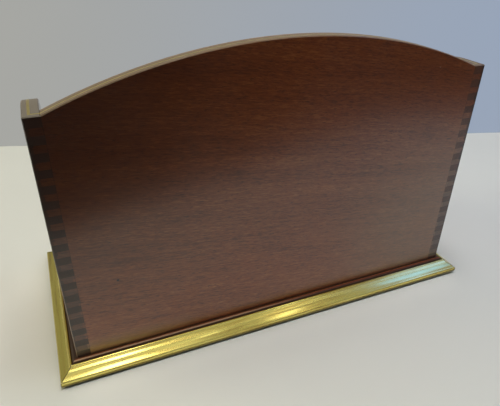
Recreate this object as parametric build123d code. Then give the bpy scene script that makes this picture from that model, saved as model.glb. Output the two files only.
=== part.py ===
from build123d import *

import os
from math import atan, cos, degrees, radians, sin, sqrt

# Desk letter box: an open mahogany box with three compartments for letters. Two arched
# panels and two ogee-topped sides meet in finger joints, their top edges are strung with
# brass, and the box is screwed down on a base board framed by a mitred brass moulding.
# Millimetres. X runs along the box, +Y points at the tall back panel, +Z is up.
# The origin is the centre of the underside of the baize.

# Carcase
carcase_length = 320.0
carcase_depth = 137.0
board = 9.5
corner_arris = 0.5
top_arris = 0.6

# Finger joints, counted up from the bottom: even fingers belong to the side boards
finger = 5.03
rear_fingers = 35
front_fingers = 19

# Arched panels, measured up from the bottom of the carcase
rear_shoulder = 177.3
front_shoulder = front_fingers * finger
arch_rise = 30.4

# Ogee of the side boards: level at the back, a round shoulder, a hollow, level in front
rear_level = 19.3
front_level = 12.0
shoulder_radius = 76.0

# Dividers, housed in the side boards
divider_thickness = 6.35
divider_step = 28.4
divider_arris = 1.3
housing_depth = 3.0
housing_stop = 2.0

# Brass stringing let into the top edges
stringing_width = 1.5
stringing_depth = 1.5
stringing_margin = 3.1

# Base board and baize
baize_thickness = 1.6
baize_inset = 2.0
baize_corner = 3.0
base_thickness = 11.1
base_margin = 3.6
base_round = 2.0

# Brass moulding, measured out from the carcase faces and up from the floor
moulding_margin = 13.2
moulding_wall = 1.35
flange_inset = 1.4
flange_thickness = 1.3
bead_radius = 1.0
bead_drop = 1.0
cove_radius = 8.4
cove_start = 50
cove_end = 24
swell_radius = 24.0
swell_end = 34
fascia_round = 0.8
hollow_high = 8.9
hollow_low = 5.1

# Countersunk screws up through the base board into the carcase
screw_head_radius = 2.6
screw_head_height = 1.6
screw_radius = 1.45
screw_length = 25.0
screw_pitch = 200.0

# Square cut brads up through the moulding's flange into the base board
brad_width = 1.4
brad_length = 9.0
brad_line = 1.1
brad_pitch = 75.0
drive_play = 0.05

# Worked out from the above
base_bottom = baize_thickness
base_top = base_bottom + base_thickness
half_length = carcase_length / 2
half_depth = carcase_depth / 2
half_chord = half_length - board
arch_radius = (half_chord**2 + arch_rise**2) / (2 * arch_rise)
compartment = (carcase_depth - 2 * board - 2 * divider_thickness) / 3
rear_divider_y = half_depth - board - compartment - divider_thickness / 2
front_divider_y = rear_divider_y - compartment - divider_thickness
very_tall = 300.0

# The four sides of the box: which way each faces, how far its face stands from the
# centre, and half its length
sides = {
    "rear": (Vector(0, 1, 0), half_depth, half_length),
    "front": (Vector(0, -1, 0), half_depth, half_length),
    "left": (Vector(-1, 0, 0), half_length, half_depth),
    "right": (Vector(1, 0, 0), half_length, half_depth),
}
up = Vector(0, 0, 1)


# ---- outlines ----

# Arched board outline in the XZ plane, its whole top edge lowered by inset
def arched_face(half_width, shoulder, inset=0.0):
    level = shoulder - inset
    spring = sqrt(2 * arch_rise * (arch_radius - inset) - arch_rise**2)
    arch = ThreePointArc((spring, level), (0, level + arch_rise), (-spring, level))
    crown = make_face(arch + Line((-spring, level), (spring, level)))
    body = Pos(0, level / 2) * Rectangle(2 * half_width, level)
    return Plane.XZ * (crown + body)


# Side board outline in the YZ plane, its whole top edge lowered by inset
def ogee_face(inset=0.0):
    shoulder_y = half_depth - rear_level
    run = carcase_depth - rear_level - front_level
    turn = 2 * atan((rear_shoulder - front_shoulder) / run)
    hollow_radius = run / sin(turn) - shoulder_radius
    start = (shoulder_y, rear_shoulder - inset)
    shoulder = JernArc(start, (-1, 0), shoulder_radius - inset, degrees(turn))
    hollow = JernArc(shoulder @ 1, shoulder % 1, hollow_radius + inset, -degrees(turn))
    straight = Polyline(
        hollow @ 1,
        (-half_depth, front_shoulder - inset),
        (-half_depth, 0),
        (half_depth, 0),
        (half_depth, rear_shoulder - inset),
        start,
    )
    return Plane.YZ * make_face(shoulder + hollow + straight)


# Block along one side of the box with 45 degree ends, between two distances out
# from the carcase face
def mitred_block(side, inner, outer):
    facing, distance, half_run = sides[side]
    plan = Polyline(
        (inner, -half_run - inner),
        (outer, -half_run - outer),
        (outer, half_run + outer),
        (inner, half_run + inner),
        close=True,
    )
    plane = Plane(origin=facing * distance, x_dir=facing, z_dir=up)
    return extrude(plane * make_face(plan), very_tall)


# Finger blocks of one corner, every other one from first, in the quarter x > 0
def finger_blocks(first, count, y):
    blocks = []
    for index in range(first, count, 2):
        height = finger if index < count - 1 else very_tall
        corner = (half_length - board / 2, y, base_top + index * finger)
        on_base = (Align.CENTER, Align.CENTER, Align.MIN)
        blocks.append(Pos(corner) * Box(board, board, height, align=on_base))
    return blocks


# ---- screws and brads ----

# Countersunk screw standing on its head, grown by play to make its hole
def screw(play=0.0):
    head_radius = screw_head_radius + play
    radius = screw_radius + play
    length = screw_length + play
    profile = Polyline(
        (0, 0),
        (head_radius, 0),
        (radius, screw_head_height),
        (radius, length),
        (0, length),
        close=True,
    )
    return revolve(Plane.XZ * make_face(profile), Axis.Z)


# Two screws under each long panel, on the middle of its thickness
def screw_spots():
    x = screw_pitch / 2
    y = half_depth - board / 2
    return [Pos(i * x, j * y, base_bottom) for i in (-1, 1) for j in (-1, 1)]


# Brad standing on its end, grown by play to make its hole
def brad(play=0.0):
    width = brad_width + play
    on_end = (Align.CENTER, Align.CENTER, Align.MIN)
    return Box(width, width, brad_length + play, align=on_end)


# Brads at an even pitch along the flange of one side
def brad_spots(side):
    facing, distance, half_run = sides[side]
    count = int(2 * half_run / brad_pitch)
    spots = []
    for index in range(count):
        along = up.cross(facing) * (brad_pitch * (index - (count - 1) / 2))
        spots.append(Pos(facing * (distance + brad_line) + along + up * base_bottom))
    return spots


# ---- mahogany ----

# Back or front panel: arch, fingers at both ends, arrises softened along the arch
def arched_panel(shoulder, fingers, y_outer, facing):
    step = (fingers - 1) * finger
    outline = arched_face(half_chord, shoulder)
    outline += Plane.XZ * Pos(0, step / 2) * Rectangle(carcase_length, step)
    y_far = max(y_outer, y_outer - facing * board)
    blank = Pos(0, y_far, base_top) * extrude(outline, board)
    panel = chamfer(blank.edges().filter_by(GeomType.CIRCLE), top_arris)
    for block in finger_blocks(0, fingers, y_outer - facing * board / 2):
        panel = panel - block - mirror(block, Plane.YZ)
    return panel


# Right side board: ogee top with soft arrises, fingers at both ends, divider housings
def side_board(dividers):
    blank = Pos(half_length - board, 0, base_top) * extrude(ogee_face(), board)
    rim = []
    for face in blank.faces().filter_by(Axis.X):
        rim += face.edges().filter_by(Axis.Z, reverse=True)
    for end in blank.faces().filter_by(Axis.Y):
        rim += end.edges().filter_by(Axis.X)
    rim = [edge for edge in rim if edge.center().Z > base_top + 1]
    side = chamfer(rim, top_arris)
    for block in finger_blocks(1, rear_fingers, half_depth - board / 2):
        side -= block
    for block in finger_blocks(1, front_fingers, board / 2 - half_depth):
        side -= block
    return side - dividers


# Divider: arched like the panels, with a tongue at each end that stops below its shoulder
def divider(shoulder, y):
    tongue = shoulder - housing_stop
    outline = arched_face(half_chord, shoulder)
    outline += Plane.XZ * Pos(0, tongue / 2) * Rectangle(2 * (half_chord + housing_depth), tongue)
    blank = Pos(0, y + divider_thickness / 2, base_top) * extrude(outline, divider_thickness)
    return chamfer(blank.edges().filter_by(GeomType.CIRCLE), divider_arris)


# Base board: rounded top edge, and a rebate below for the flange of the moulding
def base_board():
    length = carcase_length + 2 * base_margin
    depth = carcase_depth + 2 * base_margin
    on_floor = (Align.CENTER, Align.CENTER, Align.MIN)
    block = Pos(0, 0, base_bottom) * Box(length, depth, base_thickness, align=on_floor)
    block = fillet(block.faces().sort_by(Axis.Z)[-1].edges(), base_round)
    rebate = Box(length, depth, flange_thickness, align=on_floor)
    rebate -= Box(
        carcase_length - 2 * flange_inset,
        carcase_depth - 2 * flange_inset,
        flange_thickness,
        align=on_floor,
    )
    return block - Pos(0, 0, base_bottom) * rebate


# ---- brass ----

# Strip of stringing along one side, flush with the top edge it is let into
def stringing(side):
    facing, distance, half_run = sides[side]
    if side in ("left", "right"):
        strip = ogee_face() - ogee_face(stringing_depth)
        length = carcase_length
    else:
        shoulder = rear_shoulder if side == "rear" else front_shoulder
        strip = arched_face(half_length, shoulder)
        strip -= arched_face(half_length, shoulder, stringing_depth)
        length = carcase_depth
    slab = Pos(0, 0, base_top) * extrude(strip, length, both=True)
    outer = -stringing_margin
    return slab & mitred_block(side, outer - stringing_width, outer)


# Arc of the moulding's face that goes out and down from a point, as its slope turns
# from one angle to another
def sloping_arc(start, radius, slope, end_slope):
    def along(angle):
        run = abs(sin(radians(angle)) - sin(radians(slope)))
        drop = abs(cos(radians(angle)) - cos(radians(slope)))
        return (start[0] + radius * run, start[1] - radius * drop)

    return ThreePointArc(start, along((slope + end_slope) / 2), along(end_slope)), along(end_slope)


# Section of the base moulding, x out from the carcase face and y up from the floor:
# a flange under the base board, a web against its edge, a bead, a cove that turns
# into a swelling with a rounded lip, and a fascia, hollow below
def moulding_section():
    bottom = base_bottom
    bead_top = base_top - bead_drop
    bead_y = bead_top - bead_radius
    bead_end = base_margin + 2 * bead_radius
    web = base_margin + moulding_wall
    fascia = moulding_margin - moulding_wall
    foot_x = moulding_margin - fascia_round
    fascia_foot = bottom + fascia_round
    corner = fascia_round * (1 - sqrt(0.5))
    outline = Polyline(
        (web, bottom),
        (-flange_inset, bottom),
        (-flange_inset, bottom + flange_thickness),
        (base_margin, bottom + flange_thickness),
        (base_margin, bead_y),
    )
    bead = ThreePointArc(
        (base_margin, bead_y),
        (base_margin + bead_radius, bead_top),
        (bead_end, bead_y),
    )
    cove, turn = sloping_arc((bead_end, bead_y), cove_radius, cove_start, cove_end)
    swell, lip_start = sloping_arc(turn, swell_radius, cove_end, swell_end)
    lip_radius = (moulding_margin - lip_start[0]) / (1 - sin(radians(swell_end)))
    lip, lip_end = sloping_arc(lip_start, lip_radius, swell_end, 90)
    face = Line(lip_end, (moulding_margin, fascia_foot))
    foot = ThreePointArc(
        (moulding_margin, fascia_foot),
        (moulding_margin - corner, bottom + corner),
        (foot_x, bottom),
    )
    inside = Polyline(
        (foot_x, bottom),
        (fascia, bottom),
        (fascia, hollow_low),
        (web, hollow_high),
        (web, bottom),
    )
    return make_face(outline + bead + cove + swell + lip + face + foot + inside)


# One length of the base moulding, mitred at both ends and pierced for its brads
def moulding(side):
    facing, distance, half_run = sides[side]
    plane = Plane(origin=facing * distance, x_dir=facing, z_dir=facing.cross(up))
    bar = extrude(plane * moulding_section(), half_run + 2 * moulding_margin, both=True)
    bar &= mitred_block(side, -flange_inset, moulding_margin)
    return bar - [spot * brad(drive_play) for spot in brad_spots(side)]


# ---- baize ----

def baize():
    margin = moulding_margin - baize_inset
    outline = RectangleRounded(
        carcase_length + 2 * margin, carcase_depth + 2 * margin, baize_corner
    )
    return extrude(outline, baize_thickness)


# ---- assembly ----

def build():
    strings = {side: stringing(side) for side in sides}
    dividers = {
        "rear_divider": divider(rear_shoulder - divider_step, rear_divider_y),
        "front_divider": divider(rear_shoulder - 2 * divider_step, front_divider_y),
    }
    brad_places = [spot for side in sides for spot in brad_spots(side)]
    screw_holes = [spot * screw(drive_play) for spot in screw_spots()]
    brad_holes = [spot * brad(drive_play) for spot in brad_places]
    corners = chamfer(Rectangle(carcase_length, carcase_depth).vertices(), corner_arris)
    envelope = extrude(corners, very_tall)

    right = side_board(list(dividers.values()))
    carcase = {
        "back_panel": arched_panel(rear_shoulder, rear_fingers, half_depth, 1),
        "front_panel": arched_panel(front_shoulder, front_fingers, -half_depth, -1),
        "right_side": right,
        "left_side": mirror(right, Plane.YZ),
    }
    parts = {}
    for name, piece in carcase.items():
        parts[name] = (piece & envelope) - list(strings.values()) - screw_holes
    parts.update(dividers)
    parts["base_board"] = base_board() - screw_holes - brad_holes
    for side in sides:
        parts[f"{side}_stringing"] = strings[side]
        parts[f"{side}_moulding"] = moulding(side)
    parts["base_screws"] = Compound([spot * screw() for spot in screw_spots()])
    parts["moulding_brads"] = Compound([spot * brad() for spot in brad_places])
    parts["baize_pad"] = baize()
    return parts


os.makedirs("parts", exist_ok=True)
for name, piece in build().items():
    export_step(piece, f"parts/{name}.step")
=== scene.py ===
import math

import bmesh
import bpy
from mathutils import Matrix, Vector


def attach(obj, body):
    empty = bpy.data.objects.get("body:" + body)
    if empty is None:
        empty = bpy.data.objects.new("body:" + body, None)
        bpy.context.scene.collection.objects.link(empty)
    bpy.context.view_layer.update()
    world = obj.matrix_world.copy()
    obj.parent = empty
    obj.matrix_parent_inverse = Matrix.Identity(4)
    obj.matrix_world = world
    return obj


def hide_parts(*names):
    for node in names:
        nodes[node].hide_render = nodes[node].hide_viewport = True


mm = 0.001
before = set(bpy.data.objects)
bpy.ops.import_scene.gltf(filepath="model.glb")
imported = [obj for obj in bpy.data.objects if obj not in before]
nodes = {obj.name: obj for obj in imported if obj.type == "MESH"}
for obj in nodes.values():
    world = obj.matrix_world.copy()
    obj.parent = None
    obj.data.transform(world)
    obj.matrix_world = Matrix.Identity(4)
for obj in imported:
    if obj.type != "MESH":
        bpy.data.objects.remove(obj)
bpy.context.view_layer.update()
print("frame:", len(nodes), "nodes")

# Sizes shared by several pieces, in mm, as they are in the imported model
letterBox = {
    "length": 320.0,
    "depth": 137.0,
    "board": 9.5,
    "floor": 12.7,    # height of the carcase's underside
    "finger": 5.03,
    "rearFingers": 35,
    "frontFingers": 19,
}


# Inputs are sockets to link or plain values, by name or number
def setInputs(tree, node, inputs):
    for key, value in inputs.items():
        if isinstance(value, bpy.types.NodeSocket):
            tree.links.new(value, node.inputs[key])
        else:
            node.inputs[key].default_value = value
    return node


def addNode(tree, kind, inputs=None, **settings):
    node = tree.nodes.new(kind)
    for name, value in settings.items():
        setattr(node, name, value)
    return setInputs(tree, node, inputs or {})


# First output of a new node
def nodeOut(tree, kind, inputs=None, **settings):
    return addNode(tree, kind, inputs, **settings).outputs[0]


def calc(tree, operation, *values, clamp=False):
    inputs = dict(enumerate(values))
    return nodeOut(tree, "ShaderNodeMath", inputs, operation=operation, use_clamp=clamp)


def product(tree, first, *others):
    for value in others:
        first = calc(tree, "MULTIPLY", first, value)
    return first


def without(tree, mask, clamp=False):
    return calc(tree, "SUBTRACT", 1.0, mask, clamp=clamp)


def calcVector(tree, operation, *values):
    node = addNode(tree, "ShaderNodeVectorMath", dict(enumerate(values)), operation=operation)
    return node.outputs["Value" if operation in ("DISTANCE", "DOT_PRODUCT") else "Vector"]


def axes(tree, vector):
    return addNode(tree, "ShaderNodeSeparateXYZ", {0: vector}).outputs


def ramp(tree, value, low, high, start=0.0, end=1.0):
    inputs = {"Value": value, "From Min": low, "From Max": high, "To Min": start, "To Max": end}
    return nodeOut(tree, "ShaderNodeMapRange", inputs, interpolation_type="SMOOTHSTEP")


def asColour(value):
    return value if isinstance(value, bpy.types.NodeSocket) else (*value, 1.0)


def mixColour(tree, factor, first, second):
    inputs = {0: factor, 6: asColour(first), 7: asColour(second)}
    return addNode(tree, "ShaderNodeMix", inputs, data_type="RGBA").outputs[2]


noiseSpan = (0.3, 0.7)    # where most of the noise lies


# Noise whose cells are long in X and equally wide in Y and Z, in mm
def stretchedNoise(tree, place, along, across, detail=2.0, rough=0.5):
    cells = calcVector(tree, "MULTIPLY", place, (1 / along, 1 / across, 1 / across))
    inputs = {"Vector": cells, "Scale": 1.0, "Detail": detail, "Roughness": rough}
    return nodeOut(tree, "ShaderNodeTexNoise", inputs)


def bumpFrom(tree, height):
    return nodeOut(tree, "ShaderNodeBump", {"Height": height, "Distance": 1.0})


# Each input is a label, a kind and, where it needs one, a usual value
def startGroup(name, inputs, outputs, kind="ShaderNodeTree"):
    tree = bpy.data.node_groups.new(name, kind)
    for label, socketKind, *usual in inputs:
        socket = tree.interface.new_socket(label, in_out="INPUT", socket_type="NodeSocket" + socketKind)
        if usual:
            socket.default_value = usual[0]
    for label, socketKind in outputs:
        tree.interface.new_socket(label, in_out="OUTPUT", socket_type="NodeSocket" + socketKind)
    return tree, addNode(tree, "NodeGroupInput").outputs


def endGroup(tree, results):
    addNode(tree, "NodeGroupOutput", results)
    return tree


def placeGroup(tree, group, inputs):
    return addNode(tree, "ShaderNodeGroup", inputs, node_tree=group).outputs


def startMaterial(name, settings):
    material = bpy.data.materials.new(name)
    material.use_nodes = True
    tree = material.node_tree
    return material, tree, setInputs(tree, tree.nodes["Principled BSDF"], settings)


# Object coordinates in mm, turned so that X runs along the piece, then shifted
def placeInMm(tree, turn=0.0, shift=(0.0, 0.0, 0.0), tilt=0.0):
    coordinates = addNode(tree, "ShaderNodeTexCoord").outputs["Object"]
    inputs = {"Vector": coordinates, "Location": shift, "Rotation": (0.0, tilt, turn)}
    inputs["Scale"] = (1 / mm, 1 / mm, 1 / mm)
    return nodeOut(tree, "ShaderNodeMapping", inputs)


# How far a spot lies out past the carcase's end faces and past its long faces, in mm
def pastFaces(tree, spot):
    pastEnds = calc(tree, "SUBTRACT", calc(tree, "ABSOLUTE", spot["X"]), letterBox["length"] / 2)
    pastLong = calc(tree, "SUBTRACT", calc(tree, "ABSOLUTE", spot["Y"]), letterBox["depth"] / 2)
    return pastEnds, pastLong


def dress(name, material):
    nodes[name].material_slots[0].material = material


def addObject(name, data):
    made = bpy.data.objects.new(name, data)
    bpy.context.scene.collection.objects.link(made)
    return made


# Lengths and widths of the figure's patterns in mm, and the noise that each mask runs between
woodGrain = {
    "wander": 5.0,
    "drift": (95.0, 38.0),
    "bands": (210.0, 15.0),
    "ribbons": (42.0, 2.2),
    "streaks": (8.5, 0.95),
    "fibres": (3.6, 0.5),
    "vessels": (3.4, 0.46),
    "streakRough": 0.6,
    "bandMask": (0.3, 0.7),
    "streakMask": (0.3, 0.72),
    "fibreMask": (0.28, 0.72),
    "vesselMask": (0.6, 0.72),
    "ribbonShare": 0.5,
}


# Figure of a mahogany board: broad bands, streaks, fibres and open vessels along X
def makeWoodFigure():
    tree, given = startGroup(
        "woodFigure",
        [("Place", "Vector"), ("Wander", "Float", woodGrain["wander"])],
        [("Bands", "Float"), ("Streaks", "Float"), ("Fibres", "Float"), ("Vessels", "Float")],
    )
    drift = stretchedNoise(tree, given["Place"], *woodGrain["drift"], detail=1.0)
    offset = product(tree, calc(tree, "SUBTRACT", drift, 0.5), given["Wander"])
    sway = nodeOut(tree, "ShaderNodeCombineXYZ", {"Y": offset, "Z": offset})
    place = calcVector(tree, "ADD", given["Place"], sway)
    bands = stretchedNoise(tree, place, *woodGrain["bands"])
    ribbons = stretchedNoise(tree, place, *woodGrain["ribbons"])
    streaks = stretchedNoise(tree, place, *woodGrain["streaks"], rough=woodGrain["streakRough"])
    fibres = stretchedNoise(tree, place, *woodGrain["fibres"])
    dashes = stretchedNoise(tree, place, *woodGrain["vessels"], detail=1.0)
    share = woodGrain["ribbonShare"]
    bandPart = ramp(tree, bands, *woodGrain["bandMask"], 0.0, 1.0 - share)
    ribbonPart = ramp(tree, ribbons, *woodGrain["bandMask"])
    return endGroup(tree, {
        "Bands": calc(tree, "MULTIPLY_ADD", ribbonPart, share, bandPart),
        "Streaks": ramp(tree, streaks, *woodGrain["streakMask"]),
        "Fibres": ramp(tree, fibres, *woodGrain["fibreMask"]),
        "Vessels": ramp(tree, dashes, *woodGrain["vesselMask"]),
    })


handling = {
    "scratchTurns": (0.35, 1.15, 2.5),
    "scratches": (24.0, 1.3),
    "scratchWidth": 0.006,
    "patches": (60.0, 34.0),
    "patchMask": (0.46, 0.62),
    "hazeSize": 30.0,
    "hazeDetail": 3.0,
    "hazeMask": (0.35, 0.68),
}


# Fine crossing scratches, and the cloudy haze that handling leaves in a polish
def makePolishMarks():
    tree, given = startGroup(
        "polishMarks",
        [("Place", "Vector"), ("Haze Size", "Float", handling["hazeSize"])],
        [("Scratches", "Float"), ("Haze", "Float")],
    )
    lines = []
    for turn in handling["scratchTurns"]:
        turned = nodeOut(tree, "ShaderNodeVectorRotate", {"Vector": given["Place"], "Angle": turn},
                         rotation_type="Y_AXIS")
        hair = stretchedNoise(tree, turned, *handling["scratches"], detail=1.0)
        away = calc(tree, "ABSOLUTE", calc(tree, "SUBTRACT", hair, 0.5))
        lines.append(ramp(tree, away, handling["scratchWidth"], 0.0))
    crossing = calc(tree, "MAXIMUM", lines[0], calc(tree, "MAXIMUM", lines[1], lines[2]))
    patches = stretchedNoise(tree, given["Place"], *handling["patches"], detail=1.0)
    size = calc(tree, "DIVIDE", 1.0, given["Haze Size"])
    cells = nodeOut(tree, "ShaderNodeVectorMath", {0: given["Place"], "Scale": size},
                    operation="SCALE")
    inputs = {"Vector": cells, "Scale": 1.0, "Detail": handling["hazeDetail"]}
    cloud = nodeOut(tree, "ShaderNodeTexNoise", inputs)
    return endGroup(tree, {
        "Scratches": product(tree, crossing, ramp(tree, patches, *handling["patchMask"])),
        "Haze": ramp(tree, cloud, *handling["hazeMask"]),
    })


softCorner = {
    "radius": 0.0005,
    "samples": 6,
    "rub": (0.985, 0.86),    # cosines of the turn at which rubbing starts and is full
}


# Softens the shading of sharp corners, and says where they are
def makeSoftArris():
    tree, given = startGroup(
        "softArris",
        [("Radius", "Float", softCorner["radius"])],
        [("Rub", "Float"), ("Normal", "Vector")],
    )
    rounded = nodeOut(tree, "ShaderNodeBevel", {"Radius": given["Radius"]},
                      samples=softCorner["samples"])
    flat = addNode(tree, "ShaderNodeNewGeometry").outputs["Normal"]
    turned = calcVector(tree, "DOT_PRODUCT", rounded, flat)
    return endGroup(tree, {"Rub": ramp(tree, turned, *softCorner["rub"]), "Normal": rounded})


glueLines = {
    "halfWidth": 0.12,
    "fade": 0.22,
    "sideFacing": 0.7,
}
lineInputs = [("Half Width", "Float", glueLines["halfWidth"]), ("Fade", "Float", glueLines["fade"])]


# Dark line where two pieces meet, from the distance to the joint
def makeSeam():
    tree, given = startGroup("seam", [("Distance", "Float"), *lineInputs], [("Line", "Float")])
    edge = calc(tree, "ADD", given["Half Width"], given["Fade"])
    away = calc(tree, "ABSOLUTE", given["Distance"])
    return endGroup(tree, {"Line": ramp(tree, away, edge, given["Half Width"])})


# Glue lines of the finger joints, on whichever face of a corner is shaded
def makeFingerSeams(seam):
    tree, given = startGroup(
        "fingerSeams",
        [("Place", "Vector"), *lineInputs],
        [("Line", "Float"), ("Inward", "Float")],
    )
    board, finger = letterBox["board"], letterBox["finger"]
    spot = axes(tree, given["Place"])
    facing = axes(tree, addNode(tree, "ShaderNodeNewGeometry").outputs["Normal"])
    onSide = calc(tree, "GREATER_THAN", calc(tree, "ABSOLUTE", facing["X"]), glueLines["sideFacing"])
    pastEnds, pastLong = pastFaces(tree, spot)
    past = nodeOut(tree, "ShaderNodeMix", {0: onSide, 2: pastEnds, 3: pastLong})
    inward = product(tree, past, -1.0)
    corner = calc(tree, "LESS_THAN", inward, board)
    height = calc(tree, "SUBTRACT", spot["Z"], letterBox["floor"])
    cell = calc(tree, "FRACT", calc(tree, "ADD", calc(tree, "DIVIDE", height, finger), 0.5))
    toJoint = product(tree, calc(tree, "SUBTRACT", cell, 0.5), finger)
    rear = calc(tree, "GREATER_THAN", spot["Y"], 0.0)
    tops = [(letterBox[key] - 0.5) * finger for key in ("frontFingers", "rearFingers")]
    top = nodeOut(tree, "ShaderNodeMix", {0: rear, 2: tops[0], 3: tops[1]})
    between = product(tree, calc(tree, "LESS_THAN", height, top),
                   calc(tree, "GREATER_THAN", height, finger / 2))
    widths = {"Half Width": given["Half Width"], "Fade": given["Fade"]}
    level = placeGroup(tree, seam, {"Distance": toJoint, **widths})["Line"]
    toUpright = calc(tree, "SUBTRACT", inward, board)
    upright = placeGroup(tree, seam, {"Distance": toUpright, **widths})["Line"]
    line = calc(tree, "MAXIMUM", product(tree, level, corner, between), upright)
    return endGroup(tree, {"Line": line, "Inward": inward})


woodFigure = makeWoodFigure()
polishMarks = makePolishMarks()
softArris = makeSoftArris()
seam = makeSeam()
fingerSeams = makeFingerSeams(seam)
print("shared effects: five node groups")


mahogany = {
    "dark": (0.172, 0.0365, 0.0085),
    "middle": (0.295, 0.0700, 0.0155),
    "light": (0.450, 0.1300, 0.0310),
    "vessel": (0.035, 0.0100, 0.0035),
    "endGrain": (0.014, 0.0105, 0.0085),
    "corner": (0.040, 0.0190, 0.0120),
    # The three edge colours below are worn polish and dust with a painted sheen for the wall's
    # reflection; the third is their painted shaded copy
    "topEdgeWornAndSheen": (0.198, 0.1430, 0.0760),
    "sideTopWornAndSheen": (0.158, 0.1380, 0.0980),
    "shadedEdge": (0.130, 0.1000, 0.0640),
    # Pale rubbed wear, also used as a painted highlight on the arrises
    "rubbedAndHighlight": (0.36, 0.22, 0.14),
    # Dark of the glue lines and pin hole, also used for the painted contact shadow at the foot
    "jointDarkAndShade": (0.008, 0.004, 0.003),
    "toneShares": {"Bands": 0.34, "Streaks": 0.36, "Fibres": 0.30},
    "darkToMiddle": (0.12, 0.5),
    "middleToLight": (0.5, 0.92),
    "vesselShare": 0.6,
    "scratchShare": 0.12,
    "endFacing": (0.55, 0.95),
    "rubStart": 0.1,
    "rubHaze": 0.5,
    "roughness": 0.28,
    "hazeRoughness": 0.08,
    "endRoughness": 0.10,
    "scratchRoughness": 0.12,
    "dullRoughness": 0.25,
    "fibreDepth": 0.00002,
    "vesselDepth": 0.00005,
    "bumpStrength": 0.6,
    "coat": 0.95,
    "coatGrain": 0.4,
    "vesselCoat": 0.4,
    "endCoatLoss": 0.3,
    "polish": {"Specular IOR Level": 0.45, "Coat Roughness": 0.2, "Coat IOR": 1.5},
}


# One board. Each of its details alters the look before the shader gets it.
def makeMahogany(name, board):
    material, tree, shader = startMaterial(name, mahogany["polish"])
    place = placeInMm(tree, board["turn"], board["shift"], math.radians(board["tilt"]))
    figure = placeGroup(tree, woodFigure, {"Place": place})
    marks = placeGroup(tree, polishMarks, {"Place": place})
    arris = placeGroup(tree, softArris, {"Radius": softCorner["radius"]})

    tone = 0.0
    for part, share in mahogany["toneShares"].items():
        tone = calc(tree, "MULTIPLY_ADD", figure[part], share, tone)
    darker = ramp(tree, tone, *mahogany["darkToMiddle"])
    colour = mixColour(tree, darker, mahogany["dark"], mahogany["middle"])
    lighter = ramp(tree, tone, *mahogany["middleToLight"])
    colour = mixColour(tree, lighter, colour, mahogany["light"])
    opened = product(tree, figure["Vessels"], mahogany["vesselShare"])
    colour = mixColour(tree, opened, colour, mahogany["vessel"])

    normal = addNode(tree, "ShaderNodeNewGeometry").outputs["Normal"]
    grain = (math.cos(board["turn"]), -math.sin(board["turn"]), 0.0)
    across = calc(tree, "ABSOLUTE", calcVector(tree, "DOT_PRODUCT", normal, grain))
    endOn = ramp(tree, across, *mahogany["endFacing"])
    colour = mixColour(tree, product(tree, endOn, board["endDepth"]), colour, mahogany["endGrain"])
    scratched = product(tree, marks["Scratches"], mahogany["scratchShare"])
    colour = mixColour(tree, scratched, colour, mahogany["rubbedAndHighlight"])
    worn = calc(tree, "MULTIPLY_ADD", marks["Haze"], mahogany["rubHaze"], mahogany["rubStart"])
    look = {
        "here": placeInMm(tree),
        "normal": normal,
        "colour": colour,
        # Arrises go pale: rubbed wear, partly a painted highlight
        "rub": product(tree, arris["Rub"], worn),
        "dark": 0.0,
        "shading": arris["Normal"],
        "dull": 0.0,
        "edge": mahogany[board["edge"]],
    }
    for detail in board["details"]:
        detail(tree, look)
    colour = mixColour(tree, look["rub"], look["colour"], mahogany["rubbedAndHighlight"])
    colour = mixColour(tree, look["dark"], colour, mahogany["jointDarkAndShade"])

    rough = mahogany["roughness"]
    for mask, amount in ((marks["Haze"], "hazeRoughness"), (endOn, "endRoughness"),
                         (marks["Scratches"], "scratchRoughness"), (look["dull"], "dullRoughness")):
        rough = calc(tree, "MULTIPLY_ADD", mask, mahogany[amount], rough)
    relief = product(tree, figure["Fibres"], mahogany["fibreDepth"])
    relief = calc(tree, "MULTIPLY_ADD", figure["Vessels"], -mahogany["vesselDepth"], relief)
    bump = nodeOut(tree, "ShaderNodeBump", {
        "Height": relief, "Distance": 1.0,
        "Strength": mahogany["bumpStrength"], "Normal": look["shading"],
    })
    coat = calc(tree, "MULTIPLY_ADD", tone, mahogany["coatGrain"], mahogany["coat"])
    filled = ramp(tree, figure["Vessels"], 0.0, 1.0, 1.0, mahogany["vesselCoat"])
    sealed = calc(tree, "MULTIPLY_ADD", endOn, -mahogany["endCoatLoss"], 1.0)
    coat = product(tree, coat, filled, without(tree, look["dull"]), sealed)
    setInputs(tree, shader, {
        "Base Color": colour, "Roughness": rough,
        "Coat Weight": coat, "Normal": bump,
    })
    return material


def tint(tree, look, mask, colour):
    look["colour"] = mixColour(tree, mask, look["colour"], colour)


topWearAndSheen = {
    # Worn polish and dust with a painted sheen on the upward edges
    "facingUp": (0.35, 0.75),
    "depth": 0.85,
}


# Worn polish and dust on the narrow upward edges, with a painted sheen for the wall's reflection in their
# tint
def addTopWearAndSheen(tree, look):
    worn = ramp(tree, axes(tree, look["normal"])["Z"], *topWearAndSheen["facingUp"], 0.0, topWearAndSheen["depth"])
    tint(tree, look, worn, look["edge"])
    look["dull"] = worn


# Distances are in mm, inwards from the corner's arris or up from the floor
cornerWearAndPaintedLight = {
    "uprightFacing": (0.5, 0.3),
    "raggedSize": 3.0,
    "ragged": 5.0,
    "handledHeights": (150.0, 50.0),
    "handledDepths": (0.12, 0.68),
    "handledFade": (1.0, -2.0),
    "rim": (3.4, 1.4),
    "rimDepth": 0.8,
    "glueDepth": 0.4,
    "flush": (1.0, 1.4),
    # Painted contact shadow along the foot
    "footShadow": (1.3, 0.2),
    "footShadowDepth": 0.75,
    # Painted highlight on the low upright arrises
    "arrisHighlightTop": 92.0,
    "arrisHighlightFade": 25.0,
    "arrisHighlightFacing": (0.35, 0.6),
}


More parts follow.
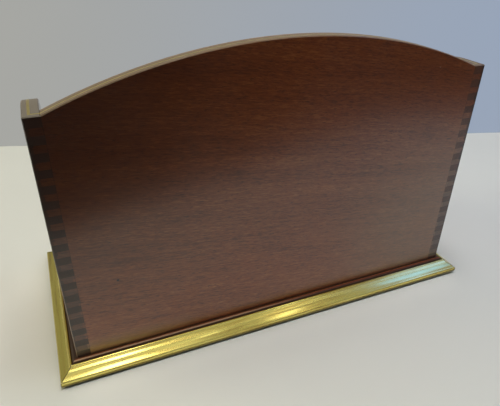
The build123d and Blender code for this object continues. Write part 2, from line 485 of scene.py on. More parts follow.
# Handled corners with glue lines between flush fingers
def addFingerSeams(tree, look):
    joints = placeGroup(tree, fingerSeams, {"Place": look["here"]})
    board = letterBox["board"]
    cloud = stretchedNoise(tree, look["here"], cornerWearAndPaintedLight["raggedSize"], cornerWearAndPaintedLight["raggedSize"])
    ragged = calc(tree, "SUBTRACT", cloud, 0.5)
    inward = calc(tree, "MULTIPLY_ADD", ragged, cornerWearAndPaintedLight["ragged"], joints["Inward"])
    facingUp = calc(tree, "ABSOLUTE", axes(tree, look["normal"])["Z"])
    upright = ramp(tree, facingUp, *cornerWearAndPaintedLight["uprightFacing"])
    height = axes(tree, look["here"])["Z"]
    depth = ramp(tree, height, *cornerWearAndPaintedLight["handledHeights"], *cornerWearAndPaintedLight["handledDepths"])
    outer, inner = cornerWearAndPaintedLight["handledFade"]
    handled = product(tree, depth, ramp(tree, inward, board + outer, board + inner), upright)
    rim = ramp(tree, inward, *cornerWearAndPaintedLight["rim"], 0.0, cornerWearAndPaintedLight["rimDepth"])
    rim = product(tree, upright, rim)
    darkened = calc(tree, "MAXIMUM", handled, rim)
    tint(tree, look, darkened, mahogany["corner"])
    glue = product(tree, joints["Line"], cornerWearAndPaintedLight["glueDepth"])
    look["dark"] = calc(tree, "MAXIMUM", look["dark"], glue)
    near, full = cornerWearAndPaintedLight["flush"]
    flush = product(tree, ramp(tree, joints["Inward"], near, full),
                    ramp(tree, joints["Inward"], board + full, board + near), upright)
    inputs = {0: flush, 4: look["shading"], 5: look["normal"]}
    look["shading"] = addNode(tree, "ShaderNodeMix", inputs, data_type="VECTOR").outputs[1]
    kept = without(tree, joints["Line"], clamp=True)
    look["rub"] = product(tree, look["rub"], kept, without(tree, flush))


# Painted contact shadow along the foot of the carcase, with wax and dust
def addFootShadow(tree, look):
    high, low = cornerWearAndPaintedLight["footShadow"]
    height = axes(tree, look["here"])["Z"]
    footShade = ramp(tree, height, letterBox["floor"] + high, letterBox["floor"] + low)
    footShade = product(tree, footShade, cornerWearAndPaintedLight["footShadowDepth"])
    look["dark"] = calc(tree, "MAXIMUM", look["dark"], footShade)


# Places are in mm on the outer face of the back panel
panelMarks = {
    # Painted shade of the top corner
    "shadedCorner": (165.0, 68.5, 200.0),
    "shadedCornerReach": 185.0,
    "shadedCornerDepth": 0.80,
    "pinHole": (124.5, 68.5, 71.5),
    "pinHoleWidths": (0.45, 0.63),
    "speck": (-116.8, 68.5, 191.9),
    "speckWidths": (0.24, 0.48),
    # Painted sheen: a pale greyish patch low towards -X
    "paintedSheen": (-135.0, 68.5, 55.0),
    "paintedSheenReach": (120.0, 15.0),
    "paintedSheenDepth": 0.38,
    "paintedSheenColour": (0.300, 0.235, 0.135),
    # Painted reflection of the brass: an ochre band along the foot towards +X
    "brassReflection": (0.62, 0.42, 0.13),
    "brassReflectionSpan": (60.0, 135.0),
    "brassReflectionRise": (16.0, 4.0),
    "brassReflectionDepth": 0.35,
}


# Painted shade: the top corner darkens, across the panel and the side that meets it
def addCornerShade(tree, look):
    away = calcVector(tree, "DISTANCE", look["here"], panelMarks["shadedCorner"])
    shadedCorner = ramp(tree, away, panelMarks["shadedCornerReach"], 0.0, 0.0, panelMarks["shadedCornerDepth"])
    tint(tree, look, shadedCorner, mahogany["vessel"])


# Small round mark, solid out to the first width and gone past both
def addDot(tree, look, centre, widths):
    away = calcVector(tree, "DISTANCE", look["here"], centre)
    solid, fade = widths
    return placeGroup(tree, seam, {"Distance": away, "Half Width": solid, "Fade": fade})["Line"]


# Painted sheen low towards -X, painted reflection of the brass along the foot, old pin hole and pale
# speck on the back panel
def addPanelMarks(tree, look):
    # Painted sheen, tinting the panel pale and greyish
    away = calcVector(tree, "DISTANCE", look["here"], panelMarks["paintedSheen"])
    paintedSheen = ramp(tree, away, *panelMarks["paintedSheenReach"], 0.0, panelMarks["paintedSheenDepth"])
    tint(tree, look, paintedSheen, panelMarks["paintedSheenColour"])
    # Painted reflection of the brass, tinting the foot ochre
    spot = axes(tree, look["here"])
    high, low = [letterBox["floor"] + rise for rise in panelMarks["brassReflectionRise"]]
    brassReflection = product(tree, ramp(tree, spot["X"], *panelMarks["brassReflectionSpan"]),
                    ramp(tree, spot["Z"], high, low), panelMarks["brassReflectionDepth"])
    tint(tree, look, brassReflection, panelMarks["brassReflection"])
    hole = addDot(tree, look, panelMarks["pinHole"], panelMarks["pinHoleWidths"])
    speck = addDot(tree, look, panelMarks["speck"], panelMarks["speckWidths"])
    look["rub"] = calc(tree, "MAXIMUM", look["rub"], speck)
    look["dark"] = calc(tree, "MAXIMUM", look["dark"], hole)


# Painted highlight on the upright arrises low down, with rubbed wear: they go pale
def addArrisHighlights(tree, look):
    facing = axes(tree, look["shading"])
    outwards = [calc(tree, "ABSOLUTE", facing[axis]) for axis in "XY"]
    both = calc(tree, "MINIMUM", *outwards)
    top = cornerWearAndPaintedLight["arrisHighlightTop"]
    low = ramp(tree, axes(tree, look["here"])["Z"], top, top - cornerWearAndPaintedLight["arrisHighlightFade"])
    worn = product(tree, ramp(tree, both, *cornerWearAndPaintedLight["arrisHighlightFacing"]), low)
    look["rub"] = calc(tree, "MAXIMUM", look["rub"], worn)
    look["dark"] = product(tree, look["dark"], without(tree, worn))


# Distances are in mm out from the carcase
baseEdge = {
    # The dark lines are painted shadow; the light line is a painted highlight
    "carcaseShadowLine": (1.4, 0.9),
    "bareFrom": -0.5,
    "highlightLine": (1.7, 2.2),
    "brassShadowLine": (2.5, 3.1),
    "litSpan": (-40.0, 60.0),
    "litDepth": 0.8,
    "unlitDepth": 0.75,
    # Painted highlight colour of the rounded edge, then the painted shadow colour
    "edge": (0.62, 0.420, 0.240),
    "shadowed": (0.046, 0.0170, 0.0025),
    "dull": 1.0,
}


# Base board: painted shadow in the dark lines against the carcase and the brass and along the ends, and a
# painted highlight on the rounded edge between, turned to painted shade towards -X
def addBaseEdge(tree, look):
    spot = axes(tree, look["here"])
    pastEnds, pastLong = pastFaces(tree, spot)
    out = calc(tree, "MAXIMUM", pastEnds, pastLong)
    bare = calc(tree, "GREATER_THAN", out, baseEdge["bareFrom"])
    inner = product(tree, ramp(tree, out, *baseEdge["carcaseShadowLine"]), bare)
    outer = ramp(tree, out, *baseEdge["brassShadowLine"])
    shadedEnds = product(tree, calc(tree, "GREATER_THAN", pastEnds, pastLong), bare)
    shadowed = calc(tree, "MAXIMUM", calc(tree, "MAXIMUM", inner, outer), shadedEnds)
    tint(tree, look, shadowed, baseEdge["shadowed"])
    edge = product(tree, ramp(tree, out, *baseEdge["highlightLine"]), without(tree, outer),
                   calc(tree, "GREATER_THAN", pastLong, pastEnds))
    lit = product(tree, edge, ramp(tree, spot["X"], *baseEdge["litSpan"]))
    unlit = calc(tree, "SUBTRACT", edge, lit)
    unlit = product(tree, unlit, baseEdge["unlitDepth"])
    tint(tree, look, unlit, baseEdge["shadowed"])
    lit = product(tree, lit, baseEdge["litDepth"])
    tint(tree, look, lit, baseEdge["edge"])
    look["dull"] = baseEdge["dull"]


# Turn lays the grain, shift and tilt pick each board's own part of the log
boardUsual = {"turn": 0.0, "endDepth": 0.78, "edge": "topEdgeWornAndSheen"}
jointed = (addTopWearAndSheen, addFingerSeams, addFootShadow, addArrisHighlights)
boards = {
    "back_panel": {"shift": (0.0, 40.0, 0.0), "tilt": 8.0,
                   "details": (addCornerShade, addPanelMarks, *jointed)},
    "front_panel": {"shift": (400.0, -90.0, 30.0), "tilt": -2.0, "details": jointed},
    "left_side": {"turn": math.pi / 2, "shift": (130.0, 300.0, 70.0), "tilt": 1.5,
                  "endDepth": 0.52, "edge": "shadedEdge", "details": jointed},
    "right_side": {"turn": math.pi / 2, "shift": (-250.0, 510.0, -40.0), "tilt": -1.0,
                   "edge": "sideTopWornAndSheen", "details": (addCornerShade, *jointed)},
    "rear_divider": {"shift": (900.0, 60.0, 110.0), "tilt": 1.0, "details": (addTopWearAndSheen,)},
    "front_divider": {"shift": (-700.0, 210.0, -130.0), "tilt": 0.0, "details": (addTopWearAndSheen,)},
    "base_board": {"shift": (1300.0, -320.0, 20.0), "tilt": 0.0, "details": (addBaseEdge,)},
}

for name, board in boards.items():
    dress(name, makeMahogany(name + "Mahogany", {**boardUsual, **board}))
print("mahogany:", len(boards), "boards")


# Patterns are length and width in mm; heights are in mm above the floor
brass = {
    "clean": (0.84, 0.74, 0.22),
    "warm": (0.74, 0.58, 0.15),
    "tarnish": (0.22, 0.175, 0.055),
    "aged": (0.40, 0.31, 0.036),
    "dulled": (0.54, 0.41, 0.150),
    "grime": (0.035, 0.026, 0.012),
    # Painted shade colour of the fascia
    "fascia": (0.21, 0.165, 0.052),
    "drawn": (40.0, 0.6),
    "wavy": (60.0, 2.6),
    "stain": (46.0, 3.4),
    "warmMask": (0.36, 0.66),
    "spotMask": (0.5, 0.8),
    "mitreLine": {"Half Width": 0.22, "Fade": 0.35},
    "mitreDepth": 0.85,
    # Painted shade: heights below which the fascia is coloured dark
    "fasciaShadeHeights": (4.1, 3.8),
    "fasciaShadeDepth": 0.9,
    "cove": (8.2, 8.6, 10.0, 10.4),
    "roughness": 0.135,
    "coveRoughness": 0.05,
    "hazeRoughness": 0.015,
    "spotRoughness": 0.03,
    "drawnDepth": 0.00000012,
    "wavyDepth": 0.0000009,
    "polish": {"Metallic": 1.0},
}


# Turn lays the drawing lines along the piece. A mitred run gets its fascia's painted shade, cove and
# mitre lines.
def makeBrass(name, turn, roughness, tarnish, age, old="aged", mitred=False):
    material, tree, shader = startMaterial(name, brass["polish"])
    place = placeInMm(tree, turn)
    marks = placeGroup(tree, polishMarks, {"Place": place})
    drawn = stretchedNoise(tree, place, *brass["drawn"], detail=1.0)
    wavy = stretchedNoise(tree, place, *brass["wavy"], detail=1.0)
    stain = stretchedNoise(tree, place, *brass["stain"], detail=3.0)
    colour = mixColour(tree, ramp(tree, stain, *brass["warmMask"]), brass["clean"], brass["warm"])
    colour = mixColour(tree, age, colour, brass[old])
    spots = product(tree, ramp(tree, stain, *brass["spotMask"]), tarnish)
    colour = mixColour(tree, spots, colour, brass["tarnish"])
    if mitred:
        spot = axes(tree, placeInMm(tree))
        toMitre = calc(tree, "SUBTRACT", *pastFaces(tree, spot))
        line = placeGroup(tree, seam, {"Distance": toMitre, **brass["mitreLine"]})["Line"]
        line = product(tree, line, brass["mitreDepth"])
        start, low, high, end = brass["cove"]
        cove = product(tree, ramp(tree, spot["Z"], start, low), ramp(tree, spot["Z"], end, high))
        roughness = calc(tree, "MULTIPLY_ADD", cove, brass["coveRoughness"], roughness)
        # Painted shade: the fascia is coloured dark for the shade under the lip and by the floor
        fascia = ramp(tree, spot["Z"], *brass["fasciaShadeHeights"], 0.0, brass["fasciaShadeDepth"])
        colour = mixColour(tree, fascia, colour, brass["fascia"])
        colour = mixColour(tree, line, colour, brass["grime"])
    rough = calc(tree, "MULTIPLY_ADD", marks["Haze"], brass["hazeRoughness"], roughness)
    rough = calc(tree, "MULTIPLY_ADD", spots, brass["spotRoughness"], rough)
    relief = product(tree, drawn, brass["drawnDepth"])
    relief = calc(tree, "MULTIPLY_ADD", wavy, brass["wavyDepth"], relief)
    setInputs(tree, shader, {"Base Color": colour, "Roughness": rough, "Normal": bumpFrom(tree, relief)})
    return material


longBrass = makeBrass("longMouldingBrass", turn=0.0, roughness=brass["roughness"],
                      tarnish=0.3, age=0.0, mitred=True)
shortBrass = makeBrass("shortMouldingBrass", turn=math.pi / 2, roughness=brass["roughness"],
                       tarnish=0.6, age=0.5, mitred=True)
stringingBrass = makeBrass("stringingBrass", turn=0.0, roughness=0.40,
                           tarnish=0.8, age=0.75, old="dulled")


# Section in mm, out from the carcase and up from the floor; slopes are in degrees
moulding = {
    "margin": 13.2,
    "wall": 1.35,
    "flangeInset": 1.4,
    "flange": 1.3,
    "baseMargin": 3.6,
    "bead": 1.0,
    "beadDrop": 1.0,
    "beadSteps": 14,
    "cove": 8.4,
    "coveSlopes": (50, 24),
    "coveSteps": 16,
    "swell": 24.0,
    "swellSlopes": (24, 34),
    "swellSteps": 10,
    "lipSteps": 14,
    "footRound": 0.8,
    "footSteps": 5,
    "hollowHigh": 8.9,
    "hollowLow": 5.1,
    "bottom": 1.6,
    "stations": 48,
    "waver": 0.015,
    "ripples": 28.0,
    "seed": 3.0,
    "crease": 32,
    "weld": 0.002,
}


def arcPoints(centre, radius, start, end, count):
    points = []
    for index in range(count + 1):
        angle = math.radians(start + (end - start) * index / count)
        points.append((centre[0] + radius * math.cos(angle), centre[1] + radius * math.sin(angle)))
    return points


# Goes out and down from a point as the slope turns from one angle to another
def slopingArc(start, radius, slopes, count):
    first, last = slopes
    points = []
    for index in range(count + 1):
        slope = math.radians(first + (last - first) * index / count)
        run = abs(math.sin(slope) - math.sin(math.radians(first)))
        drop = abs(math.cos(slope) - math.cos(math.radians(first)))
        points.append((start[0] + radius * run, start[1] - radius * drop))
    return points


# Flange, bead, cove, swell, lip and foot in turn, then back up the hollow inside
def mouldingSection():
    m = moulding
    beadX = m["baseMargin"] + m["bead"]
    beadY = letterBox["floor"] - m["beadDrop"] - m["bead"]
    web = m["baseMargin"] + m["wall"]
    fascia = m["margin"] - m["wall"]
    footY = m["bottom"] + m["footRound"]
    flangeTop = m["bottom"] + m["flange"]
    points = [(web, m["bottom"]), (-m["flangeInset"], m["bottom"])]
    points += [(-m["flangeInset"], flangeTop), (m["baseMargin"], flangeTop)]
    points += arcPoints((beadX, beadY), m["bead"], 180, 0, m["beadSteps"])
    points += slopingArc(points[-1], m["cove"], m["coveSlopes"], m["coveSteps"])[1:]
    points += slopingArc(points[-1], m["swell"], m["swellSlopes"], m["swellSteps"])[1:]
    lipSlope = m["swellSlopes"][1]
    lip = (m["margin"] - points[-1][0]) / (1 - math.sin(math.radians(lipSlope)))
    points += slopingArc(points[-1], lip, (lipSlope, 90), m["lipSteps"])[1:]
    points += arcPoints((m["margin"] - m["footRound"], footY), m["footRound"], 0, -90, m["footSteps"])
    points += [(fascia, m["bottom"]), (fascia, m["hollowLow"]), (web, m["hollowHigh"])]
    return points


def sectionCurve():
    data = bpy.data.curves.new("mouldingSection", "CURVE")
    data.dimensions = "3D"
    spline = data.splines.new("POLY")
    points = mouldingSection()
    spline.points.add(len(points) - 1)
    for point, (x, y) in zip(spline.points, points):
        point.co = (x * mm, -y * mm, 0.0, 1.0)    # the sweep turns the section over
    spline.use_cyclic_u = True
    return addObject("mouldingSection", data)


def endShape(tree, shape, finish):
    shape = nodeOut(tree, "GeometryNodeRealizeInstances", {0: shape})
    shape = nodeOut(tree, "GeometryNodeSetMaterial", {"Geometry": shape, "Material": finish})
    return endGroup(tree, {"Geometry": shape})


# Sweeps the section along a run, fans both ends into mitres and turns the run to its side
def makeSweepTree():
    tree, given = startGroup(
        "mouldingRun",
        [
            ("Section", "Object"),
            ("Half Run", "Float"),
            ("Face Distance", "Float"),
            ("Stations", "Int"),
            ("Waver", "Float"),
            ("Ripples", "Float"),
            ("Turn", "Float"),
            ("Seed", "Float"),
            ("Finish", "Material"),
        ],
        [("Geometry", "Geometry")],
        kind="GeometryNodeTree",
    )
    back = product(tree, given["Half Run"], -1.0)
    start = nodeOut(tree, "ShaderNodeCombineXYZ", {"X": given["Half Run"]})
    end = nodeOut(tree, "ShaderNodeCombineXYZ", {"X": back})
    run = nodeOut(tree, "GeometryNodeCurvePrimitiveLine", {"Start": start, "End": end})
    run = nodeOut(tree, "GeometryNodeResampleCurve", {"Curve": run, "Count": given["Stations"]})
    section = addNode(tree, "GeometryNodeObjectInfo", {"Object": given["Section"]}).outputs["Geometry"]
    bar = nodeOut(tree, "GeometryNodeCurveToMesh",
                  {"Curve": run, "Profile Curve": section, "Fill Caps": True})
    place = nodeOut(tree, "GeometryNodeInputPosition")
    spot = axes(tree, place)
    fan = calc(tree, "ADD", 1.0, calc(tree, "DIVIDE", spot["Y"], given["Half Run"]))
    along = product(tree, spot["X"], fan)
    ripple = nodeOut(tree, "ShaderNodeTexNoise",
                     {"Vector": place, "W": given["Seed"], "Scale": given["Ripples"], "Detail": 1.0},
                     noise_dimensions="4D")
    lift = product(tree, calc(tree, "SUBTRACT", ripple, 0.5), given["Waver"])
    away = calc(tree, "ADD", spot["Y"], given["Face Distance"])
    raised = calc(tree, "ADD", spot["Z"], lift)
    moved = nodeOut(tree, "ShaderNodeCombineXYZ", {"X": along, "Y": away, "Z": raised})
    turned = nodeOut(tree, "ShaderNodeVectorRotate", {"Vector": moved, "Angle": given["Turn"]},
                     rotation_type="Z_AXIS")
    bar = nodeOut(tree, "GeometryNodeSetPosition", {"Geometry": bar, "Position": turned})
    return endShape(tree, bar, given["Finish"])


# Runs a geometry tree on an empty mesh and returns the result as a plain mesh object
def bakeTree(name, tree, inputs):
    maker = addObject(name, bpy.data.meshes.new(name))
    modifier = maker.modifiers.new(tree.name, "NODES")
    modifier.node_group = tree
    identifiers = {item.name: item.identifier for item in tree.interface.items_tree
                   if item.item_type == "SOCKET" and item.in_out == "INPUT"}
    for label, value in inputs.items():
        modifier[identifiers[label]] = value
    bpy.context.view_layer.update()
    depsgraph = bpy.context.evaluated_depsgraph_get()
    mesh = bpy.data.meshes.new_from_object(maker.evaluated_get(depsgraph))
    maker.modifiers.clear()
    maker.data = mesh
    mesh.name = name
    return maker


# Welds a baked mesh, points its faces outwards and keeps its arrises crisp
def closeMesh(piece, crease):
    shape = bmesh.new()
    shape.from_mesh(piece.data)
    bmesh.ops.remove_doubles(shape, verts=shape.verts, dist=moulding["weld"] * mm)
    bmesh.ops.recalc_face_normals(shape, faces=shape.faces)
    for face in shape.faces:
        face.smooth = True
    shape.to_mesh(piece.data)
    shape.free()
    piece.data.set_sharp_from_angle(angle=math.radians(crease))


halfLength, halfDepth = letterBox["length"] / 2, letterBox["depth"] / 2
sides = {
    "rear": (halfLength, halfDepth, 0.0, longBrass),
    "front": (halfLength, halfDepth, math.pi, longBrass),
    "left": (halfDepth, halfLength, math.pi / 2, shortBrass),
    "right": (halfDepth, halfLength, -math.pi / 2, shortBrass),
}
section = sectionCurve()
sweep = makeSweepTree()
for side, (halfRun, distance, turn, finish) in sides.items():
    run = bakeTree(side + "Moulding", sweep, {
        "Section": section,
        "Half Run": halfRun * mm,
        "Face Distance": distance * mm,
        "Stations": moulding["stations"],
        "Waver": moulding["waver"] * mm,
        "Ripples": moulding["ripples"],
        "Turn": turn,
        "Seed": moulding["seed"] + turn,
        "Finish": finish,
    })
    closeMesh(run, moulding["crease"])
    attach(run, "root")
    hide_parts(side + "_moulding")
bpy.data.objects.remove(section)
for side in sides:
    dress(side + "_stringing", stringingBrass)
print("brass: four mitred runs and four strings")


# Drops on the mitres: on the bead, out from the base board, and on the lip, in from its edge
solder = {
    "colour": (0.72, 0.66, 0.52),
    "grain": 0.8,
    "brassMask": (0.4, 0.7),
    "roughness": (0.22, 0.4),
    "radius": 0.55,
    "rings": 3,
    "beadOut": 0.9,
    "beadDrop": 1.25,
    "lipIn": 0.75,
    "lipHeight": 5.7,
    "uneven": 0.35,
    "seed": 11,
    "crease": 60,
}


def makeSolderFinish():
    material, tree, shader = startMaterial("solder", {"Metallic": 1.0})
    grain = stretchedNoise(tree, placeInMm(tree), solder["grain"], solder["grain"])
    colour = mixColour(tree, ramp(tree, grain, *solder["brassMask"]), solder["colour"], brass["warm"])
    rough = ramp(tree, grain, *noiseSpan, *solder["roughness"])
    setInputs(tree, shader, {"Base Color": colour, "Roughness": rough})
    return material


# Small uneven drops on the points of a mesh
def makeDropTree():
    tree, given = startGroup(
        "solderDrops",
        [
            ("Spots", "Object"),
            ("Radius", "Float"),
            ("Rings", "Int"),
            ("Uneven", "Float"),
            ("Seed", "Int"),
            ("Finish", "Material"),
        ],
        [("Geometry", "Geometry")],
        kind="GeometryNodeTree",
    )
    spots = addNode(tree, "GeometryNodeObjectInfo", {"Object": given["Spots"]}).outputs["Geometry"]
    drop = nodeOut(tree, "GeometryNodeMeshIcoSphere",
                   {"Radius": given["Radius"], "Subdivisions": given["Rings"]})
    limits = {}
    for number, operation in enumerate(("SUBTRACT", "ADD")):
        scales = {axis: calc(tree, operation, 1.0, given["Uneven"]) for axis in range(3)}
        limits[number] = nodeOut(tree, "ShaderNodeCombineXYZ", scales)
    size = nodeOut(tree, "FunctionNodeRandomValue", {**limits, "Seed": given["Seed"]},
                   data_type="FLOAT_VECTOR")
    drops = nodeOut(tree, "GeometryNodeInstanceOnPoints",
                    {"Points": spots, "Instance": drop, "Scale": size})
    return endShape(tree, drops, given["Finish"])


def solderSpots():
    onBead = (moulding["baseMargin"] + solder["beadOut"], letterBox["floor"] - solder["beadDrop"])
    onLip = (moulding["margin"] - solder["lipIn"], solder["lipHeight"])
    spots = []
    for x in (-1, 1):
        for y in (-1, 1):
            for out, height in (onBead, onLip):
                spots.append((x * (halfLength + out) * mm, y * (halfDepth + out) * mm, height * mm))
    mesh = bpy.data.meshes.new("solderSpots")
    mesh.from_pydata(spots, [], [])
    return addObject("solderSpots", mesh)


spots = solderSpots()
drops = bakeTree("solderDrops", makeDropTree(), {
    "Spots": spots,
    "Radius": solder["radius"] * mm,
    "Rings": solder["rings"],
    "Uneven": solder["uneven"],
    "Seed": solder["seed"],
    "Finish": makeSolderFinish(),
})
bpy.data.objects.remove(spots)
closeMesh(drops, solder["crease"])
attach(drops, "root")
print("solder: eight drops")


baize = {
    "dark": (0.010, 0.030, 0.016),
    "light": (0.030, 0.075, 0.040),
    "fuzz": 0.5,
    "patches": 12.0,
    "patchShare": 0.4,
    "lightMask": (0.35, 0.65),
    "napDepth": 0.0003,
    "finish": {"Roughness": 0.95, "Sheen Weight": 0.5, "Sheen Roughness": 0.5, "Specular IOR Level": 0.1},
}


def makeBaize():
    material, tree, shader = startMaterial("baizeFelt", baize["finish"])
    place = placeInMm(tree)
    fuzz = stretchedNoise(tree, place, baize["fuzz"], baize["fuzz"], detail=3.0)
    patches = stretchedNoise(tree, place, baize["patches"], baize["patches"])
    tone = product(tree, fuzz, 1.0 - baize["patchShare"])
    tone = calc(tree, "MULTIPLY_ADD", patches, baize["patchShare"], tone)
    colour = mixColour(tree, ramp(tree, tone, *baize["lightMask"]), baize["dark"], baize["light"])
    nap = product(tree, fuzz, baize["napDepth"])
    setInputs(tree, shader, {"Base Color": colour, "Normal": bumpFrom(tree, nap)})
    return material


steel = {
    "bright": (0.42, 0.41, 0.40),
    "dull": (0.16, 0.14, 0.12),
    "bloom": 1.6,
    "turned": (3.0, 0.25),
    "dullMask": (0.4, 0.7),
    "roughness": (0.3, 0.6),
    "turnedDepth": 0.00002,
    "finish": {"Metallic": 1.0},
}


def makeSteel():
    material, tree, shader = startMaterial("fixingSteel", steel["finish"])
    place = placeInMm(tree)
    bloom = stretchedNoise(tree, place, steel["bloom"], steel["bloom"], detail=3.0)
    turned = stretchedNoise(tree, place, *steel["turned"], detail=1.0)
    colour = mixColour(tree, ramp(tree, bloom, *steel["dullMask"]), steel["bright"], steel["dull"])
    rough = ramp(tree, bloom, *noiseSpan, *steel["roughness"])
    relief = product(tree, turned, steel["turnedDepth"])
    setInputs(tree, shader, {"Base Color": colour, "Roughness": rough, "Normal": bumpFrom(tree, relief)})
    return material


dress("baize_pad", makeBaize())
steelFinish = makeSteel()
for name in ("base_screws", "moulding_brads"):
    dress(name, steelFinish)
print("baize and steel")


# Sides, far distances, mottles and the wall's line are in mm; reach and the flag are in metres
stage = {
    "floorWarm": (0.745, 0.742, 0.680),
    "floorCool": (0.703, 0.712, 0.722),
    "floorPaint": {"Roughness": 0.55, "Specular IOR Level": 0.35},
    "floorMottle": (90.0, 0.04, (0.5, 0.5, 0.5)),
    "wallWarm": (0.385, 0.385, 0.360),
    "wallCool": (0.315, 0.375, 0.480),
    "wallPaint": {"Roughness": 0.8, "Specular IOR Level": 0.2},
    "wallMottle": (140.0, 0.05, (0.3, 0.3, 0.3)),
    "warmSide": 250.0,
    "coolSide": -480.0,
    "farFloor": (560.0, 950.0),
    "farGlow": 0.78,
    "wallLine": ((220.0, -380.0), (-494.0, -164.0)),
    "reach": 4.0,
    "flag": (0.02, 0.02, 0.02),
    "flagPaint": {"Roughness": 0.9, "Specular IOR Level": 0.0},
    "flagEdge": ((-4.0, 0.36), (-0.55, 0.36), (-0.36, 0.425), (0.45, 0.156), (4.0, 0.156)),
    "flagHeight": 0.001,
}


def makeSheet(name, corners):
    mesh = bpy.data.meshes.new(name)
    mesh.from_pydata(corners, [], [range(len(corners))])
    sheet = addObject(name, mesh)
    return sheet


# Rays that should find the plain backdrop colour
def seenRays(tree):
    path = addNode(tree, "ShaderNodeLightPath").outputs
    direct = calc(tree, "MAXIMUM", path["Is Camera Ray"], path["Is Glossy Ray"])
    return calc(tree, "MAXIMUM", direct, path["Is Transmission Ray"])


# Warm on the lamp's side, cool on the window's, faintly mottled
def backdropColour(tree, place, warm, cool, mottled):
    size, depth, grey = mottled
    side = ramp(tree, axes(tree, place)["X"], stage["warmSide"], stage["coolSide"])
    mottle = ramp(tree, stretchedNoise(tree, place, size, size), *noiseSpan, 0.0, depth)
    return mixColour(tree, mottle, mixColour(tree, side, warm, cool), grey)


# Far off, the floor turns into its own plain colour, so that it ends pale in low views
def makeFloor():
    reach = stage["reach"]
    corners = ((-1, -1), (1, -1), (1, 1), (-1, 1))
    floor = makeSheet("floor", [(x * reach, y * reach, 0) for x, y in corners])
    material, tree, shader = startMaterial("floorPaint", stage["floorPaint"])
    place = placeInMm(tree)
    colour = backdropColour(tree, place, stage["floorWarm"], stage["floorCool"], stage["floorMottle"])
    setInputs(tree, shader, {"Base Color": colour})
    far = ramp(tree, calcVector(tree, "DISTANCE", place, (0.0, 0.0, 0.0)), *stage["farFloor"])
    far = product(tree, far, seenRays(tree))
    plain = nodeOut(tree, "ShaderNodeEmission", {"Color": colour, "Strength": stage["farGlow"]})
    paint = nodeOut(tree, "ShaderNodeMixShader", {0: far, 1: shader.outputs[0], 2: plain})
    setInputs(tree, tree.nodes["Material Output"], {"Surface": paint})
    floor.data.materials.append(material)


# The wall shows only from the box's side, so that it hides nothing in views from behind it
def makeWall():
    (x0, y0), (x1, y1) = stage["wallLine"]
    start, end = Vector((x0, y0, 0)) * mm, Vector((x1, y1, 0)) * mm
    run = (end - start).normalized() * stage["reach"]
    rise = Vector((0, 0, stage["reach"]))
    wall = makeSheet("wall", [start - run, end + run, end + run + rise, start - run + rise])
    wall.visible_shadow = False
    wall.visible_diffuse = False
    material, tree, shader = startMaterial("wallPaint", stage["wallPaint"])
    place = placeInMm(tree)
    colour = backdropColour(tree, place, stage["wallWarm"], stage["wallCool"], stage["wallMottle"])
    setInputs(tree, shader, {"Base Color": colour})
    plain = nodeOut(tree, "ShaderNodeEmission", {"Color": colour, "Strength": 1.0})
    shown = seenRays(tree)
    paint = nodeOut(tree, "ShaderNodeMixShader", {0: shown, 1: shader.outputs[0], 2: plain})
    clear = nodeOut(tree, "ShaderNodeBsdfTransparent")
    behind = addNode(tree, "ShaderNodeNewGeometry").outputs["Backfacing"]
    sided = nodeOut(tree, "ShaderNodeMixShader", {0: behind, 1: paint, 2: clear})
    setInputs(tree, tree.nodes["Material Output"], {"Surface": sided})
    wall.data.materials.append(material)


# Black card laid beyond the back panel as painted shade, seen only as a dark reflection in the polish
def makeFlag():
    reach, height = stage["reach"], stage["flagHeight"]
    outline = [*stage["flagEdge"], (reach, reach), (-reach, reach)]
    flag = makeSheet("flag", [(x, y, height) for x, y in outline])
    material, tree, shader = startMaterial("flagCard", stage["flagPaint"])
    setInputs(tree, shader, {"Base Color": asColour(stage["flag"])})
    flag.data.materials.append(material)
    flag.visible_camera = False
    flag.visible_shadow = False


makeFloor()
makeWall()
makeFlag()
print("floor, wall and flag")


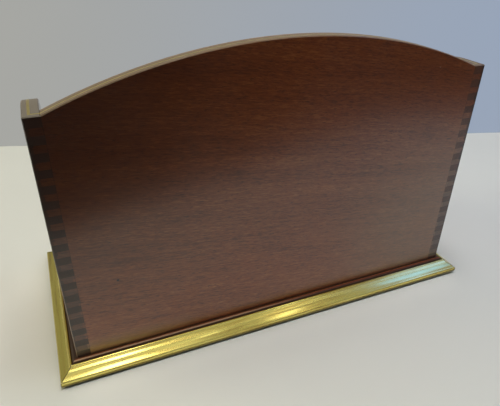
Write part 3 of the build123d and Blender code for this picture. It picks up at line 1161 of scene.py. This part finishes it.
# Places and sizes are in metres, powers in watts, angles in degrees. Lamps marked mirrored only
# show in gloss, lamps marked hidden never do. The strips lift the box's shadow from the floor.
lamps = {
    "ceilingKey": {"place": (0.08, 0.84, 1.5), "size": (0.22, 0.76), "power": 2.6,
                   "colour": (1.0, 0.985, 0.95), "mirrored": True},
    "ceilingHalo": {"place": (0.05, 0.95, 1.5), "size": (0.62, 1.9), "power": 1.1,
                    "colour": (1.0, 0.97, 0.90), "mirrored": True},
    "ceilingWide": {"place": (0.12, 1.37, 1.5), "size": (0.30, 2.3), "power": 2.3,
                    "colour": (1.0, 0.985, 0.92), "mirrored": True},
    "ceilingMiddle": {"place": (-0.255, 0.33, 1.5), "size": (0.08, 0.16), "power": 0.055,
                      "colour": (1.0, 0.97, 0.90), "mirrored": True},
    "ceilingSide": {"place": (-0.60, 0.52, 1.5), "size": (0.10, 0.44), "power": 0.24,
                    "colour": (1.0, 0.97, 0.90), "mirrored": True},
    "sideWide": {"place": (-0.80, 1.37, 1.5), "size": (0.09, 2.4), "power": 0.85,
                 "colour": (1.0, 0.97, 0.90), "turn": 13.8, "mirrored": True},
    "blueWindow": {"place": (-1.78, 1.55, 1.5), "size": (0.46, 2.0), "power": 9.0,
                   "colour": (0.08, 0.19, 0.78), "turn": 28.3, "mirrored": True},
    "blueFade": {"place": (-1.48, 1.55, 1.5), "size": (0.40, 2.0), "power": 0.9,
                 "colour": (0.03, 0.17, 0.85), "turn": 22.4, "mirrored": True},
    "blueLow": {"place": (-1.26, 0.35, 1.5), "size": (0.40, 0.50), "power": 1.7,
                "colour": (0.05, 0.18, 0.85), "turn": 25.0, "mirrored": True},
    "ceilingFill": {"place": (-0.05, 0.05, 1.5), "size": (0.5, 0.5), "power": 12.2,
                    "colour": (1.0, 0.985, 0.96), "hidden": True},
    "window": {"place": (-1.30, -0.05, 1.45), "size": (0.8, 0.8), "power": 4.9,
               "colour": (0.80, 0.93, 1.0), "aimed": True, "hidden": True},
    "nearWindow": {"place": (-0.85, 0.45, 0.5), "size": (0.4, 0.4), "power": 0.7,
                   "colour": (0.88, 0.95, 1.0), "aimed": True, "hidden": True},
    "roomSoft": {"place": (0.1, -0.9, 1.7), "size": (1.8, 1.6), "power": 3.3,
                 "colour": (1.0, 0.98, 0.95), "aimed": True},
    "leftSoft": {"place": (1.2, -0.35, 1.0), "size": (0.9, 0.9), "power": 7.8,
                 "colour": (1.0, 0.965, 0.72), "aimed": True},
    "rearStrip": {"place": (0.0, 0.087, 0.085), "size": (0.33, 0.006), "power": 0.0038,
                  "colour": (1.0, 0.985, 0.95), "spread": 29.0, "hidden": True},
    "sideStrip": {"place": (0.179, 0.0, 0.10), "size": (0.15, 0.006), "power": 0.0019,
                  "colour": (1.0, 0.975, 0.86), "spread": 30.0, "turn": 90.0, "hidden": True},
    "rearSoft": {"place": (-0.3, 1.6, 0.9), "size": (1.0, 1.0), "power": 0.3,
                 "colour": (1.0, 0.97, 0.92), "aimed": True},
}
aimHeight = 0.08    # of the spot in the middle of the box that aimed lamps point at


def makeLamps():
    for name, lamp in lamps.items():
        data = bpy.data.lights.new(name, "AREA")
        data.shape = "RECTANGLE" if "spread" in lamp else "ELLIPSE"
        data.spread = math.radians(lamp.get("spread", 180.0))
        data.size, data.size_y = lamp["size"]
        data.energy = lamp["power"]
        data.color = lamp["colour"]
        made = addObject(name, data)
        made.location = lamp["place"]
        if lamp.get("aimed"):
            line = Vector((0, 0, aimHeight)) - Vector(lamp["place"])
            made.rotation_euler = line.to_track_quat("-Z", "Y").to_euler()
        else:
            made.rotation_euler = (0.0, 0.0, math.radians(lamp.get("turn", 0.0)))
        made.visible_glossy = not lamp.get("hidden")
        made.visible_diffuse = not lamp.get("mirrored")


world = {
    "ambient": (0.85, 0.88, 0.95),
    "ambientStrength": 0.02,
    "glow": (1.0, 0.98, 0.86),
    "glowRise": (0.1, 0.9),
    "glowStrengths": (0.28, 0.35),
}


# A dim room, with a pale one shown to the camera and in the gloss of the brass
def makeWorld():
    room = bpy.data.worlds.new("room")
    room.use_nodes = True
    tree = room.node_tree
    up = axes(tree, addNode(tree, "ShaderNodeTexCoord").outputs["Generated"])["Z"]
    strength = ramp(tree, up, *world["glowRise"], *world["glowStrengths"])
    dim = {"Color": asColour(world["ambient"]), "Strength": world["ambientStrength"]}
    pale = {"Color": asColour(world["glow"]), "Strength": strength}
    mixed = nodeOut(tree, "ShaderNodeMixShader", {
        0: seenRays(tree),
        1: nodeOut(tree, "ShaderNodeBackground", dim),
        2: nodeOut(tree, "ShaderNodeBackground", pale),
    })
    setInputs(tree, tree.nodes["World Output"], {"Surface": mixed})
    bpy.context.scene.world = room


# Place in mm; right and up are the directions in its view
camera = {
    "place": (145.04, 334.96, 280.55),
    "right": (-0.9207, 0.3899, 0.0152),
    "up": (-0.185, -0.4706, 0.8627),
    "lens": 34.89,
    "sensor": 36.0,
    "shift": 0.0012,
    "nearest": 10.0,
}


def makeCamera():
    data = bpy.data.cameras.new("deskCamera")
    data.lens = camera["lens"]
    data.sensor_width = camera["sensor"]
    data.clip_start = camera["nearest"] * mm
    data.shift_y = camera["shift"]
    viewer = addObject("deskCamera", data)
    right = Vector(camera["right"]).normalized()
    back = right.cross(Vector(camera["up"])).normalized()
    turned = Matrix((right, back.cross(right), back)).transposed().to_4x4()
    turned.translation = Vector(camera["place"]) * mm
    viewer.matrix_world = turned
    bpy.context.scene.camera = viewer


makeLamps()
makeWorld()
makeCamera()
bpy.context.scene.view_settings.view_transform = "Standard"
print("lamps, world and camera")
